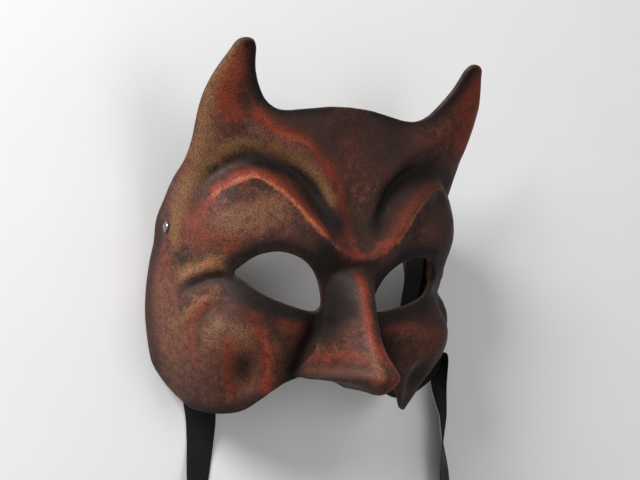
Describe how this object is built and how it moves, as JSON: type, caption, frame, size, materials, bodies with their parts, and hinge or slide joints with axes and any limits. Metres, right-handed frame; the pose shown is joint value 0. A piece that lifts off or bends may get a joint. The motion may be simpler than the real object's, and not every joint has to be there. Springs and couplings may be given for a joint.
{
  "type": "devil half mask",
  "caption": "Moulded leather half mask with two horns, heavy brows, a long pointed nose, open eyes and two black ribbon ties.",
  "frame": {"origin": "middle of the mask's own box, on the surface that its two side rims lie on", "axes": "+X to the wearer's left, +Y up the face towards the horns, +Z out of the face"},
  "size_m": [0.2112, 0.3155, 0.1005],
  "materials": {
    "leather": "satin dark brown rubbed to red on the ridges",
    "rivet": "polished dark steel",
    "ribbon": "black ribbed ribbon"
  },
  "bodies": {
    "root": {"mask_shell": "leather", "rivet_right": "rivet", "rivet_left": "rivet", "ribbon_right": "ribbon", "ribbon_left": "ribbon", "ribbon_roll_right": "ribbon", "ribbon_roll_left": "ribbon"}
  },
  "joints": []
}
